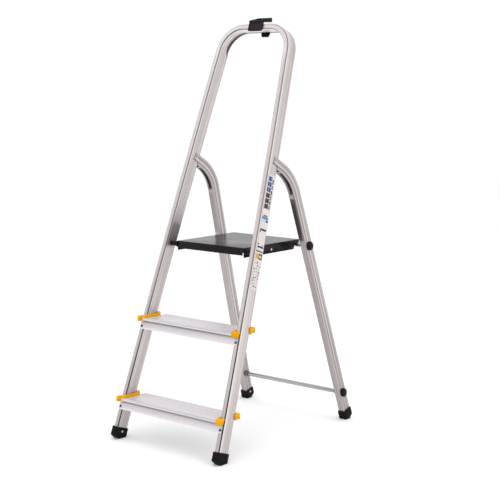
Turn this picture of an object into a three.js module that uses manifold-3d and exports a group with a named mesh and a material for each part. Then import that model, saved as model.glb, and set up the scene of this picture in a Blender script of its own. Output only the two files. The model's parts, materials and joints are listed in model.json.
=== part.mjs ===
// Step ladder with three treads, the top one a platform, and a bent tube handrail.
// Millimetres. X runs across the ladder, Y from its front to its back, Z up from the floor.
import * as THREE from 'three';
import { mergeVertices } from 'three/addons/utils/BufferGeometryUtils.js';
import Module from 'manifold-3d';

const wasm = await Module();
wasm.setup();

const degrees = THREE.MathUtils.degToRad;
const SIDES = [['left', -1], ['right', 1]];

// ---- Driving dimensions ----
const RAIL_HEIGHT = 1300; // floor to the top of the bent handrail
const FRONT_LEAN = degrees(70.635); // front frame above the horizontal
const FRONT_TOE_Y = -345.2; // where the front frame's front plane meets the floor
const STILE_WIDTH = 17.6; // front frame section, across the ladder
const STILE_DEPTH = 43;
const HALF_FOOT = 221.5; // outer half width of the front frame at the floor
const TAPER = 0.0433; // how fast that half width falls with height
const BOW = 14.7e-6; // and its slight outward bow, per mm of height
const RAIL_BEND_RADIUS = 92; // outer radius of the handrail's two top bends
const TUBE_WALL = 1.5;

const REAR_LEAN = degrees(73.1);
const REAR_TOE_Y = 310.1;
const LEG_WIDTH = 21.6;
const LEG_DEPTH = 33.4;
const REAR_HALF_FOOT = 224.4;
const REAR_TAPER = Math.atan(0.0579);
const LEG_BEND_RADIUS = 143; // centre line radius of the bend below each fork
const FORK_RISE = degrees(30); // the fork's direction above the horizontal
const PIVOT_DEPTH = 31; // leg pivot, behind the front frame's front plane
const PIVOT_HEIGHT = 870.9;
const FORK_TIP = 10.5; // from the pivot to the fork's tip
const FORK_CLEARANCE = 0.8; // between each fork cheek and the stile
const PIN_RADIUS = 4;
const FORK_STEP = 9; // front part of each fork cheek that stops at the stile's rear face
const FOLD_ANGLE = degrees(37);
const CLIP_GAP = 0.3; // between pieces that touch

const ROD_RADIUS = 7;
const LOWER_ROD = { y: 299.4, z: 93.4 };
const UPPER_ROD = { y: 145.5, z: 599 };
const CAP_RADIUS = 13.8;
const CAP_THICKNESS = 6.6;

const TREAD_HEIGHTS = { lower: 129, upper: 375.4 };
const TREAD_NOSE = 12; // nosing ahead of the front plane, at tread height
const TREAD_DEPTH = 96.1;
const TREAD_SKIRT = 35.4;
const TREAD_REAR_LIP = 22;
const TREAD_PLATE = 2;
const TREAD_END_INSET = 2; // tread ends inside the stiles' outer faces
const NOSE_END_INSET = 8; // and the nosing's ends, beside the bumpers

const HINGE = { y: -110.5, z: 605 }; // platform hinge axis
const HINGE_PIN_RADIUS = 3.3;
const PLATFORM_TOP = 615.9;
const PLATFORM_HALF_WIDTH = 137.5;
const PLATFORM_FRONT_Y = -116.4;
const PLATFORM_REAR_Y = 160.2;
const PLATFORM_FRONT_SKIRT = 23.8;
const PLATFORM_SIDE_SKIRT = 30;
const PLATFORM_RIM = 8.6; // skirt depth over and behind the upper rod
const SHEET = 2;

const BOOT_WALL = 3.5;
const FRONT_BOOT_TOP = 43; // along the front frame
const REAR_BOOT_TOP = 29; // along the rear leg
const BOOT_BEVEL = 16; // toe or heel bevel, horizontally and vertically

// ---- Materials ----
function paint(color, roughness, metalness) {
  return new THREE.MeshStandardMaterial({ color, roughness, metalness });
}

const MATERIALS = {
  aluminium: paint(0xc3bcba, 0.38, 0.9),
  treadAluminium: paint(0xdcd9e0, 0.42, 0.8),
  blackSteel: paint(0x1a191b, 0.35, 0.2),
  blackPlastic: paint(0x1c1b1c, 0.55, 0),
  yellowPlastic: paint(0xf0a514, 0.5, 0),
  rubber: paint(0x161616, 0.8, 0),
  chrome: paint(0xd9d9dc, 0.12, 1),
  rivet: paint(0xa8a6a4, 0.35, 0.9),
  darkRivet: paint(0x4a4847, 0.4, 0.8),
  label: paint(0xe8e8ea, 0.45, 0),
};

// ---- Solids and scene helpers ----
function solid(geometry) {
  const bare = geometry.clone();
  bare.deleteAttribute('normal');
  bare.deleteAttribute('uv');
  const merged = mergeVertices(bare, 1e-4);
  return new wasm.Manifold(new wasm.Mesh({
    numProp: 3,
    vertProperties: new Float32Array(merged.attributes.position.array),
    triVerts: new Uint32Array(merged.index.array),
  }));
}

function geometryOf(manifold) {
  const mesh = manifold.getMesh();
  const geometry = new THREE.BufferGeometry();
  geometry.setAttribute('position', new THREE.BufferAttribute(Float32Array.from(mesh.vertProperties), 3));
  geometry.setIndex(new THREE.BufferAttribute(Uint32Array.from(mesh.triVerts), 1));
  geometry.computeVertexNormals();
  return geometry;
}

const joined = (shapes) => shapes.map(solid).reduce((all, next) => all.add(next));
const cut = (body, cutters) => cutters.map(solid).reduce((left, next) => left.subtract(next), body);

function addPart(name, shape, material, parent) {
  const geometry = shape instanceof THREE.BufferGeometry ? shape : geometryOf(shape);
  const mesh = new THREE.Mesh(geometry, material);
  mesh.name = name;
  parent.add(mesh);
  return mesh;
}

// A box given by its two corners.
function box(low, high) {
  const size = high.map((value, axis) => value - low[axis]);
  const middle = high.map((value, axis) => (value + low[axis]) / 2);
  return new THREE.BoxGeometry(...size).translate(...middle);
}

// A cylinder along an axis, 'x', 'y' or 'z', between two coordinates on it.
function rod(axis, radius, from, to, a = 0, b = 0, sides = 24) {
  const cylinder = new THREE.CylinderGeometry(radius, radius, to - from, sides);
  const middle = (from + to) / 2;
  if (axis === 'x') return cylinder.rotateZ(Math.PI / 2).translate(middle, a, b);
  if (axis === 'y') return cylinder.translate(a, middle, b);
  return cylinder.rotateX(Math.PI / 2).translate(a, b, middle);
}

// A flat outline in (Y, Z), drawn out along X between two coordinates.
function prism(outline, fromX, toX) {
  const shape = new THREE.Shape(outline.map(([y, z]) => new THREE.Vector2(y, z)));
  const geometry = new THREE.ExtrudeGeometry(shape, { depth: toX - fromX, bevelEnabled: false, steps: 1 });
  const yzx = new THREE.Matrix4().set(0, 0, 1, fromX, 1, 0, 0, 0, 0, 1, 0, 0, 0, 0, 0, 1);
  return geometry.applyMatrix4(yzx);
}

// A turned piece about +Z, from (radius, height) points that start and end on the axis.
const turned = (profile, sides = 24) =>
  new THREE.LatheGeometry(profile.map(([r, h]) => new THREE.Vector2(r, h)), sides).rotateX(Math.PI / 2);

// A path through chosen stations, each a point and a direction in one plane.
class StationPath extends THREE.Curve {
  constructor(stations) {
    super();
    this.stations = stations;
  }
  at(t) {
    return this.stations[Math.round(t * (this.stations.length - 1))];
  }
  getPointAt(t) {
    return new THREE.Vector3(...this.at(t).point, 0);
  }
  getTangentAt(t) {
    return new THREE.Vector3(...this.at(t).direction, 0).normalize();
  }
}

// Draws a section along stations. The section's x runs towards -Z and its y to the left of travel.
function sweep(stations, outline, holes = []) {
  const shape = new THREE.Shape(outline.map((p) => new THREE.Vector2(...p)));
  shape.holes = holes.map((hole) => new THREE.Path(hole.map((p) => new THREE.Vector2(...p))));
  const path = new StationPath(stations);
  const settings = { steps: stations.length - 1, extrudePath: path, bevelEnabled: false };
  return new THREE.ExtrudeGeometry(shape, settings);
}

function arcStations(centre, radius, from, to, count) {
  return Array.from({ length: count + 1 }, (_, i) => {
    const angle = from + ((to - from) * i) / count;
    return {
      point: [centre[0] + radius * Math.cos(angle), centre[1] + radius * Math.sin(angle)],
      direction: [-Math.sin(angle), Math.cos(angle)],
    };
  });
}

// Rectangular tube section from half of its outline: (depth, side) points of one wide face.
function section(depth, width, wide) {
  const chamfer = 1.4;
  const half = width / 2;
  const upper = [...wide.map(([d, w]) => [d, half - w]), [depth - chamfer, half], [depth, half - chamfer]];
  const lower = upper.map(([d, w]) => [d, -w]).reverse();
  return [...upper, ...lower].reverse();
}

// The stile's front corners are stepped; each rear leg's wide faces have a groove at either side.
const stileSection = () =>
  section(STILE_DEPTH, STILE_WIDTH, [[0, 2.6], [0.9, 2.6], [0.9, 0.9], [2.6, 0.9], [2.6, 0]]);
const legSection = () => section(LEG_DEPTH, LEG_WIDTH, [
  [0, 1.4], [1.4, 0], [9, 0], [9.4, 0.7], [10.6, 0.7], [11, 0],
  [LEG_DEPTH - 11, 0], [LEG_DEPTH - 10.6, 0.7], [LEG_DEPTH - 9.4, 0.7], [LEG_DEPTH - 9, 0],
]);

function inner(depth, width, wall) {
  const d = [wall, depth - wall];
  const w = width / 2 - wall - 0.3;
  return [[d[0], -w], [d[1], -w], [d[1], w], [d[0], w]];
}

// ---- Frames ----
const ladder = new THREE.Group();

const frontPlane = new THREE.Group(); // x across, y up the front frame, z out of its front face
frontPlane.position.set(0, FRONT_TOE_Y, 0);
frontPlane.rotation.x = FRONT_LEAN;
ladder.add(frontPlane);

const legFrames = {}; // x backwards, y up the leg, z towards +X; one plane for each rear leg
for (const [side, sign] of SIDES) {
  const leg = new THREE.Group();
  const up = new THREE.Vector3(-sign * Math.sin(REAR_TAPER), 0, Math.cos(REAR_TAPER));
  const back = new THREE.Vector3(0, 1, 0);
  leg.quaternion.setFromRotationMatrix(new THREE.Matrix4().makeBasis(back, up, back.clone().cross(up)));
  leg.position.set(sign * (REAR_HALF_FOOT - LEG_WIDTH / 2), REAR_TOE_Y, 0);
  ladder.add(leg);
  legFrames[side] = leg;
}

const platform = new THREE.Group(); // on the platform's hinge axis
platform.position.set(0, HINGE.y, HINGE.z);
ladder.add(platform);
ladder.updateMatrixWorld(true);

const toWorld = (geometry, group) => geometry.applyMatrix4(group.matrixWorld);
const toGroup = (geometry, group) => geometry.applyMatrix4(group.matrixWorld.clone().invert());

// ---- Front frame shape ----
const halfWidth = (v) => {
  const z = v * Math.sin(FRONT_LEAN);
  return HALF_FOOT - TAPER * z - BOW * z * z;
};
const inwardSlope = (v) => (TAPER + 2 * BOW * v * Math.sin(FRONT_LEAN)) * Math.sin(FRONT_LEAN);
const frontPlaneY = (z) => FRONT_TOE_Y + z / Math.tan(FRONT_LEAN);
const slopeDistance = (y, z) => (y - FRONT_TOE_Y) * Math.cos(FRONT_LEAN) + z * Math.sin(FRONT_LEAN);

// A block that follows one stile round its height v, grown sideways and taken between two depths.
function stileBlock(sign, v, length, grow, near, far) {
  const block = new THREE.BoxGeometry(STILE_WIDTH + 2 * grow, length, far - near);
  block.rotateZ(sign * Math.atan(inwardSlope(v)));
  return block.translate(sign * (halfWidth(v) - STILE_WIDTH / 2), v, -(near + far) / 2);
}

// Everything outboard of an edge and behind a depth, following one stile's slope at v.
function trimBlock(sign, v, edge, near) {
  const block = new THREE.BoxGeometry(60, 260, 160).rotateZ(sign * Math.atan(inwardSlope(v)));
  return block.translate(sign * (edge + 30), v, -near - 80);
}

const TUBE_START = 24; // lower end of the front frame's tube, along it
const topLine = RAIL_HEIGHT / Math.sin(FRONT_LEAN);
const bendTurn = Math.atan(inwardSlope(topLine - RAIL_BEND_RADIUS));
const bendStart = topLine - RAIL_BEND_RADIUS * (1 - Math.sin(bendTurn));
const bendCentre = [
  halfWidth(bendStart) - RAIL_BEND_RADIUS * Math.cos(bendTurn),
  topLine - RAIL_BEND_RADIUS,
];

function frontStations() {
  const straightSteps = 9;
  const rising = Array.from({ length: straightSteps }, (_, i) => {
    const v = TUBE_START + ((bendStart - TUBE_START) * i) / straightSteps;
    return { point: [halfWidth(v) - STILE_WIDTH / 2, v], direction: [-inwardSlope(v), 1] };
  });
  const bend = arcStations(bendCentre, RAIL_BEND_RADIUS - STILE_WIDTH / 2, bendTurn, Math.PI / 2, 10);
  const right = [...rising, ...bend];
  const left = right.map(({ point: [x, y], direction: [dx, dy] }) => {
    return { point: [-x, y], direction: [dx, -dy] };
  });
  return [...right, ...left.reverse()];
}

// ---- Tread ----
const run = 1 / Math.tan(FRONT_LEAN);
const treadOutline = () => {
  const rear = TREAD_DEPTH - TREAD_NOSE;
  const lipDrop = 9;
  const behind = (z) => z * run - 0.4; // rear face of the skirt, just ahead of the front plane
  const skirt = TREAD_PLATE / Math.sin(FRONT_LEAN);
  const grooves = [];
  for (let y = rear - 8; y > 6; y -= 6.5) {
    grooves.push([y, 0], [y - 0.6, -0.7], [y - 1.4, -0.7], [y - 2, 0]);
  }
  return [
    [-TREAD_NOSE, -lipDrop], [behind(-lipDrop) - skirt, -lipDrop],
    [behind(-TREAD_SKIRT) - skirt, -TREAD_SKIRT], [behind(-TREAD_SKIRT), -TREAD_SKIRT],
    [behind(-TREAD_PLATE), -TREAD_PLATE],
    [rear - TREAD_PLATE, -TREAD_PLATE], [rear - TREAD_PLATE, -TREAD_REAR_LIP], [rear, -TREAD_REAR_LIP],
    [rear, -1], [rear - 1, 0], ...grooves,
    [-TREAD_NOSE + 6.5, 0], [-TREAD_NOSE + 5.8, -0.6], [-TREAD_NOSE + 5.1, 0],
    [-TREAD_NOSE + 2.5, 0], [-TREAD_NOSE + 0.7, -0.7], [-TREAD_NOSE, -2.5],
  ];
};

const RIVET_DROP = 27.5; // tread rivet below the tread's top
const frontFrameCuts = [];

function rivetAt(sign, v, near, far, radius) {
  const u = sign * (halfWidth(v) - STILE_WIDTH / 2);
  return rod('z', radius, -far, -near, u, v, 14);
}

for (const [level, z] of Object.entries(TREAD_HEIGHTS)) {
  const y = frontPlaneY(z);
  const v = z / Math.sin(FRONT_LEAN);
  const rearV = slopeDistance(y + TREAD_DEPTH - TREAD_NOSE, z);
  const half = halfWidth(v);
  const end = half - TREAD_END_INSET;
  const plank = solid(prism(treadOutline(), -end, end).translate(0, y, z));
  const rivetV = (z - RIVET_DROP) / Math.sin(FRONT_LEAN);
  const notches = SIDES.flatMap(([, sign]) => {
    // Trimmed to the stile's inner face, and behind the stile to clear the folded rear leg.
    const beside = trimBlock(sign, rearV, halfWidth(rearV) - STILE_WIDTH - 0.5, -CLIP_GAP);
    const legInside = REAR_HALF_FOOT - LEG_WIDTH - Math.tan(REAR_TAPER) * (z + 25);
    const behind = trimBlock(sign, rearV, legInside - 1.6, STILE_DEPTH + 2);
    const rivetHole = rivetAt(sign, rivetV, -9, 6, 2.4);
    const noseEnd = box([half - NOSE_END_INSET, y - 40, z - 14], [half + 9, y - 4.4, z + 5]);
    if (sign < 0) noseEnd.rotateZ(Math.PI).translate(0, 2 * y - 44.4, 0);
    return [...[beside, behind, rivetHole].map((cutter) => toWorld(cutter, frontPlane)), noseEnd];
  });
  addPart(`${level}_tread`, cut(plank, notches), MATERIALS.treadAluminium, ladder);

  for (const [side, sign] of SIDES) {
    frontFrameCuts.push(rivetAt(sign, rivetV, -1, 6, 2.4));
    const plate = TREAD_PLATE + 0.4;
    const rivet = joined([
      rivetAt(sign, rivetV, -plate - 1.9, -plate - 0.4, 4.2),
      rivetAt(sign, rivetV, -plate - 0.6, 4.5, 2.1),
    ]);
    addPart(`${level}_tread_rivet_${side}`, rivet, MATERIALS.darkRivet, frontPlane);
    addTreadCap(`${level}_tread_cap_${side}`, sign, y, z, v);
  }
}

// Yellow bumper clipped round a stile on a tread: a lug at the nosing's end, a bar in front of the
// stile, a wedge along its inner face with a recess in it, and a stop behind the stile.
function addTreadCap(name, sign, y, z, v) {
  const outer = halfWidth(v);
  const innerFace = outer - STILE_WIDTH;
  const rear = y + STILE_DEPTH / Math.sin(FRONT_LEAN);
  const block = (x, ys, zs) => {
    const [low, high] = sign > 0 ? x : [-x[1], -x[0]];
    return box([low, ys[0], zs[0]], [high, ys[1], zs[1]]);
  };
  const plan = (points, low, high) => {
    const shape = new THREE.Shape(points.map(([px, py]) => new THREE.Vector2(sign * px, py)));
    const slab = new THREE.ExtrudeGeometry(shape, { depth: high - low, bevelEnabled: false, steps: 1 });
    return slab.translate(0, 0, low);
  };
  const nose = y - TREAD_NOSE;
  const front = nose - 8.5;
  const lugEnd = nose + 7;
  // The right lug also reaches inwards over the nosing's front.
  const lug = sign > 0
    ? [
      block([innerFace - 1, outer], [front, nose - CLIP_GAP], [z - 10.5, z + 7]),
      block([outer - 7.5, outer], [front, lugEnd], [z - 10.5, z + 7]),
    ]
    : [block([outer - 7, outer + 3], [front, lugEnd], [z - 10.5, z + 6])];
  const wedge = [
    [innerFace - 1.2, y - 9], [innerFace - 7, rear + 6], [innerFace - 7, rear + 12],
    [innerFace + 2, rear + 12], [innerFace + 2, y - 9],
  ];
  const recess = [
    [innerFace - 0.9, y + 10], [innerFace - 5, rear + 4], [innerFace + 2, rear + 4], [innerFace + 2, y + 10],
  ];
  const shapes = [
    ...lug,
    block([innerFace - 1.2, outer - 1], [y - 9, y + 2], [z + CLIP_GAP, z + 5.5]),
    plan(wedge, z + CLIP_GAP, z + 9),
    block([innerFace - 5, outer + 1], [rear - 1, rear + 12], [z + CLIP_GAP, z + 9]),
    block([innerFace + 1.4, outer + 4], [rear - 1, rear + 20], [z - 7, z + 9.5]),
  ];
  const clearance = stileBlock(sign, v, 160, CLIP_GAP, -CLIP_GAP, STILE_DEPTH + CLIP_GAP);
  const cutters = [toWorld(clearance, frontPlane), plan(recess, z + 4, z + 12)];
  addPart(name, cut(joined(shapes), cutters), MATERIALS.yellowPlastic, ladder);
}

// ---- Rear legs ----
const pivot = {
  y: frontPlaneY(PIVOT_HEIGHT) + PIVOT_DEPTH / Math.sin(FRONT_LEAN),
  z: PIVOT_HEIGHT,
};

function legLayout() {
  const start = Math.PI - REAR_LEAN;
  const end = Math.PI - FORK_RISE;
  const direction = [Math.cos(start), Math.sin(start)];
  const tipDirection = [Math.cos(end), Math.sin(end)];
  const normal = [Math.sin(REAR_LEAN), Math.cos(REAR_LEAN)];
  const goal = [pivot.y - REAR_TOE_Y, pivot.z / Math.cos(REAR_TAPER)];
  const toe = normal.map((n) => (n * LEG_DEPTH) / 2);
  const arc = [
    LEG_BEND_RADIUS * (Math.sin(end) - Math.sin(start)),
    LEG_BEND_RADIUS * (Math.cos(start) - Math.cos(end)),
  ];
  const left = goal.map((g, i) => g - toe[i] - arc[i]);
  const det = direction[0] * tipDirection[1] - direction[1] * tipDirection[0];
  const straight = (left[0] * tipDirection[1] - left[1] * tipDirection[0]) / det;
  const last = (direction[0] * left[1] - direction[1] * left[0]) / det;
  return { start, end, direction, tipDirection, toe, straight, last, goal };
}

const LEG = legLayout();
const LEG_TUBE_START = 7;
const alongLeg = (t) => LEG.toe.map((value, i) => value + LEG.direction[i] * t);
const legCentreX = (z) => REAR_HALF_FOOT - LEG_WIDTH / 2 - z * Math.tan(REAR_TAPER);

function legStations() {
  const bendFrom = alongLeg(LEG.straight);
  const centre = [
    bendFrom[0] - LEG_BEND_RADIUS * Math.sin(LEG.start),
    bendFrom[1] + LEG_BEND_RADIUS * Math.cos(LEG.start),
  ];
  const quarter = Math.PI / 2;
  const bend = arcStations(centre, LEG_BEND_RADIUS, LEG.start - quarter, LEG.end - quarter, 8);
  const tip = LEG.goal.map((value, i) => value + LEG.tipDirection[i] * FORK_TIP);
  return [
    { point: alongLeg(LEG_TUBE_START), direction: LEG.direction },
    ...bend,
    { point: tip, direction: LEG.tipDirection },
  ];
}

const turnAboutPivot = (geometry, angle) =>
  geometry.translate(0, -pivot.y, -pivot.z).rotateX(angle).translate(0, pivot.y, pivot.z);

for (const [side, sign] of SIDES) {
  const leg = legFrames[side];
  const centred = (points) => points.map(([d, w]) => [w, d - LEG_DEPTH / 2]).reverse();
  const tube = solid(sweep(
    legStations(),
    centred(legSection()),
    [centred(inner(LEG_DEPTH, LEG_WIDTH, TUBE_WALL))],
  ));
  const pivotAlong = slopeDistance(pivot.y, pivot.z);
  const cutters = [0, 0.25, 0.5, 0.75, 1].map((share) => {
    const block = stileBlock(sign, pivotAlong, 130, FORK_CLEARANCE, -12, STILE_DEPTH + 1);
    return toGroup(turnAboutPivot(toWorld(block, frontPlane), share * FOLD_ANGLE), leg);
  });
  const cheekFront = new THREE.BoxGeometry(60, FORK_STEP + 20, 80);
  cheekFront.translate(30 - 14.5, LEG_DEPTH / 2 - FORK_STEP / 2 + 10, 0);
  cutters.push(cheekFront.rotateZ(LEG.end).translate(...LEG.goal, 0));
  for (const { y, z } of [LOWER_ROD, UPPER_ROD]) {
    const x = sign * legCentreX(z);
    cutters.push(toGroup(rod('x', ROD_RADIUS + CLIP_GAP, x - 20, x + 20, y, z), leg));
  }
  cutters.push(rod('z', PIN_RADIUS + 0.2, -20, 20, ...LEG.goal, 20));
  const bootRivet = alongLeg(20);
  const innerSide = (near, far) => (sign > 0 ? [-far, -near] : [near, far]);
  cutters.push(rod('z', 2.3, ...innerSide(8, 14), ...bootRivet, 14));
  addPart(`rear_leg_${side}`, cut(tube, cutters), MATERIALS.aluminium, leg);

  // Pivot rivet through both fork cheeks and the stile, and the spacer bush it passes through.
  const half = LEG_WIDTH / 2 + 0.3;
  const shank = rod('z', PIN_RADIUS, -half, half, ...LEG.goal, 20);
  const heads = [-1, 1].map((end) =>
    turned([[0, 0], [6.4, 0], [6.4, 0.4], [4.5, 1], [0, 1.2]], 20)
      .rotateX(end > 0 ? 0 : Math.PI)
      .translate(...LEG.goal, end * (half - 0.01)));
  addPart(`leg_pivot_rivet_${side}`, joined([shank, ...heads]), MATERIALS.rivet, leg);

  const stileCentre = halfWidth(pivotAlong) - STILE_WIDTH / 2;
  const bushHalf = STILE_WIDTH / 2 - TUBE_WALL - 0.9;
  const bush = solid(rod('x', 7.5, -bushHalf, bushHalf, 0, 0))
    .subtract(solid(rod('x', PIN_RADIUS + 0.8, -20, 20, 0, 0)));
  const placed = geometryOf(bush).rotateZ(sign * Math.atan(inwardSlope(pivotAlong)));
  placed.translate(sign * stileCentre, pivotAlong, -PIVOT_DEPTH);
  addPart(`leg_pivot_bush_${side}`, placed, MATERIALS.blackPlastic, frontPlane);
  const through = [sign * stileCentre - 14, sign * stileCentre + 14];
  frontFrameCuts.push(rod('x', PIN_RADIUS + 0.8, ...through, pivotAlong, -PIVOT_DEPTH, 20));

  for (const [level, { y, z }] of Object.entries({ lower: LOWER_ROD, upper: UPPER_ROD })) {
    const head = LEG_WIDTH / 2 + CLIP_GAP;
    const cap = turned([
      [0, -12], [4.3, -12], [4.3, 0], [CAP_RADIUS, 0], [CAP_RADIUS, 3],
      [CAP_RADIUS - 1.6, CAP_THICKNESS - 1.4], [7, CAP_THICKNESS - 0.3], [0, CAP_THICKNESS],
    ], 28);
    cap.translate(0, 0, head);
    if (sign < 0) cap.rotateX(Math.PI);
    cap.translate(y - REAR_TOE_Y, z / Math.cos(REAR_TAPER), 0);
    addPart(`${level}_rod_cap_${side}`, cap, MATERIALS.blackPlastic, leg);
  }
}

for (const [level, { y, z }] of Object.entries({ lower: LOWER_ROD, upper: UPPER_ROD })) {
  const half = legCentreX(z) + LEG_WIDTH / 2 - 1.2;
  const tube = solid(rod('x', ROD_RADIUS, -half, half, y, z, 28))
    .subtract(solid(rod('x', ROD_RADIUS - TUBE_WALL, -half - 5, half + 5, y, z, 28)));
  addPart(`${level}_rear_rod`, tube, level === 'upper' ? MATERIALS.chrome : MATERIALS.aluminium, ladder);
}

// ---- Boots ----
// A rubber boot on a tube end: a rounded sleeve cut level with the floor, bevelled at its outer end.
function bootSleeve(width, depth, bottom, top) {
  const r = 3;
  const [w, d] = [width / 2 + BOOT_WALL, depth / 2 + BOOT_WALL];
  const shape = new THREE.Shape();
  shape.moveTo(-w + r, -d);
  shape.lineTo(w - r, -d);
  shape.absarc(w - r, -d + r, r, -Math.PI / 2, 0);
  shape.lineTo(w, d - r);
  shape.absarc(w - r, d - r, r, 0, Math.PI / 2);
  shape.lineTo(-w + r, d);
  shape.absarc(-w + r, d - r, r, Math.PI / 2, Math.PI);
  shape.lineTo(-w, -d + r);
  shape.absarc(-w + r, -d + r, r, Math.PI, 1.5 * Math.PI);
  const settings = { depth: top - bottom, bevelEnabled: false, curveSegments: 3 };
  return new THREE.ExtrudeGeometry(shape, settings).translate(0, 0, bottom);
}

const floorCutter = () => box([-400, -600, -80], [400, 600, 0]);

// Everything below a 45 degree plane that meets y at the bevel's height; outward is -1 or 1 along y.
function bevelCutter(y, outward) {
  const reach = 60;
  return prism([
    [y + outward * reach, BOOT_BEVEL + reach], [y + outward * reach, -30],
    [y - outward * (BOOT_BEVEL + 30), -30],
  ], -450, 450);
}

function pocket(width, depth, bottom, top) {
  return new THREE.BoxGeometry(width + 2 * CLIP_GAP, depth + 2 * CLIP_GAP, top - bottom)
    .translate(0, 0, (top + bottom) / 2);
}

function bootRivet(sign, width) {
  const face = width / 2 + BOOT_WALL;
  const head = turned([[0, -2.9], [2, -2.9], [2, 0], [3.8, 0], [3.8, 0.6], [2.4, 1.5], [0, 1.8]], 16);
  return head.rotateY(-sign * (Math.PI / 2)).translate(-sign * (face + 0.2), 0, 0);
}

for (const [side, sign] of SIDES) {
  const tilt = Math.atan(inwardSlope(TUBE_START));
  const foot = new THREE.Group(); // z up the stile, y backwards through its depth
  foot.position.set(sign * (halfWidth(0) - STILE_WIDTH / 2), 0, -STILE_DEPTH / 2);
  foot.rotation.set(-Math.PI / 2, -sign * tilt, 0, 'ZXY');
  frontPlane.add(foot);
  foot.updateMatrixWorld(true);
  const rivetHeight = 31;
  const innerSide = (near, far) => (sign > 0 ? [-far, -near] : [near, far]);
  const front = cut(solid(toWorld(bootSleeve(STILE_WIDTH, STILE_DEPTH, -30, FRONT_BOOT_TOP), foot)), [
    toWorld(pocket(STILE_WIDTH, STILE_DEPTH, TUBE_START - 0.4, FRONT_BOOT_TOP + 20), foot),
    floorCutter(),
    bevelCutter(frontPlaneY(BOOT_BEVEL) - BOOT_WALL / Math.sin(FRONT_LEAN), -1),
    toWorld(rod('x', 2.3, ...innerSide(6, 16), 0, rivetHeight, 14), foot),
  ]);
  addPart(`front_boot_${side}`, front, MATERIALS.rubber, ladder);
  const frontRivet = bootRivet(sign, STILE_WIDTH).translate(0, 0, rivetHeight);
  addPart(`front_boot_rivet_${side}`, frontRivet, MATERIALS.rivet, foot);

  const heel = new THREE.Group(); // z up the rear leg, y backwards through its depth
  heel.position.set(...LEG.toe, 0);
  const leg = legFrames[side];
  heel.quaternion.setFromRotationMatrix(new THREE.Matrix4().makeBasis(
    new THREE.Vector3(0, 0, 1),
    new THREE.Vector3(Math.sin(REAR_LEAN), Math.cos(REAR_LEAN), 0),
    new THREE.Vector3(...LEG.direction, 0),
  ));
  leg.add(heel);
  heel.updateMatrixWorld(true);
  const heelY = REAR_TOE_Y + (LEG_DEPTH + BOOT_WALL) / Math.sin(REAR_LEAN);
  const rear = cut(solid(toWorld(bootSleeve(LEG_WIDTH, LEG_DEPTH, -30, REAR_BOOT_TOP), heel)), [
    toWorld(pocket(LEG_WIDTH, LEG_DEPTH, LEG_TUBE_START - 0.4, REAR_BOOT_TOP + 20), heel),
    floorCutter(),
    bevelCutter(heelY - BOOT_BEVEL / Math.tan(REAR_LEAN), 1),
    toWorld(rod('x', 2.3, ...innerSide(8, 18), 0, 20, 14), heel),
  ]);
  addPart(`rear_boot_${side}`, rear, MATERIALS.rubber, ladder);
  addPart(`rear_boot_rivet_${side}`, bootRivet(sign, LEG_WIDTH).translate(0, 0, 20), MATERIALS.rivet, heel);
  const rivetHole = toWorld(rod('x', 2.3, ...innerSide(4, 12), 0, rivetHeight, 14), foot);
  frontFrameCuts.push(toGroup(rivetHole, frontPlane));
}

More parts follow.
